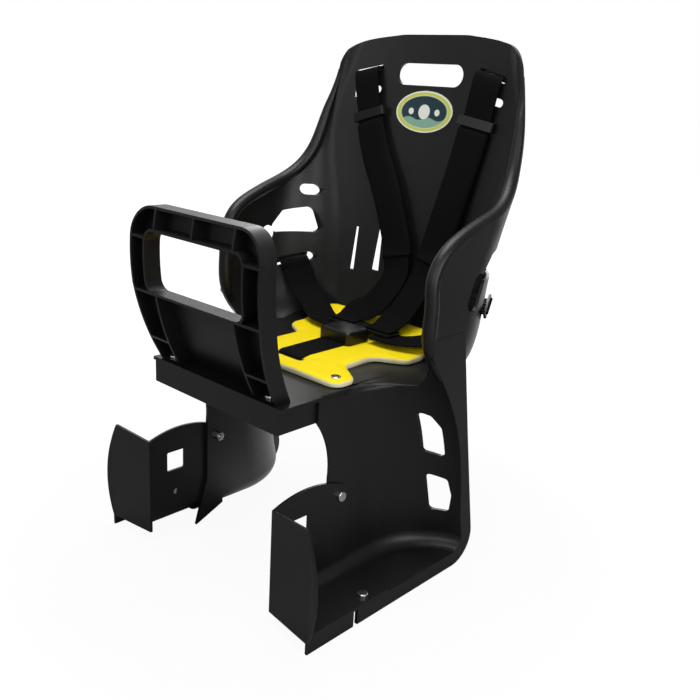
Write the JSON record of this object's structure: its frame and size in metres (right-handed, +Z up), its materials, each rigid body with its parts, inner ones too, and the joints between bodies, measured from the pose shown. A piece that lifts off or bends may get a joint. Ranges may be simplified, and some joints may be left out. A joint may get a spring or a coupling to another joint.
{
  "type": "child bike seat",
  "caption": "Moulded plastic rear child bike seat: high-backed bucket with leg guards, bolted front grab guard, foot rests, padded pan and buckled webbing harness.",
  "frame": {"origin": "on the floor, under the middle of the seat's box", "axes": "+Z up, the child faces -Y, +X is the child's left"},
  "size_m": [0.37, 0.3764, 0.612],
  "materials": {
    "shell": "satin black polypropylene",
    "pad": "yellow foam-backed cloth",
    "web": "black woven webbing",
    "sleeve": "black padded cloth",
    "buckle": "black moulded nylon",
    "label": "printed oval sticker",
    "steel": "zinc plated"
  },
  "bodies": {
    "root": {"seat_shell": "shell", "front_guard": "shell", "left_footrest": "shell", "right_footrest": "shell", "seat_pad": "pad", "pad_snaps": "steel", "left_shoulder_strap": "web", "right_shoulder_strap": "web", "left_lap_strap": "web", "right_lap_strap": "web", "crotch_strap": "web", "left_sleeve": "sleeve", "right_sleeve": "sleeve", "left_adjuster": "buckle", "right_adjuster": "buckle", "shoulder_stops": "buckle", "lap_stops": "buckle", "crotch_stop": "buckle", "buckle_socket": "buckle", "buckle_tongue": "buckle", "oval_label": "label", "footrest_bolts": "steel", "footrest_nuts": "steel", "guard_bolts": "steel", "guard_nuts": "steel"}
  },
  "joints": []
}
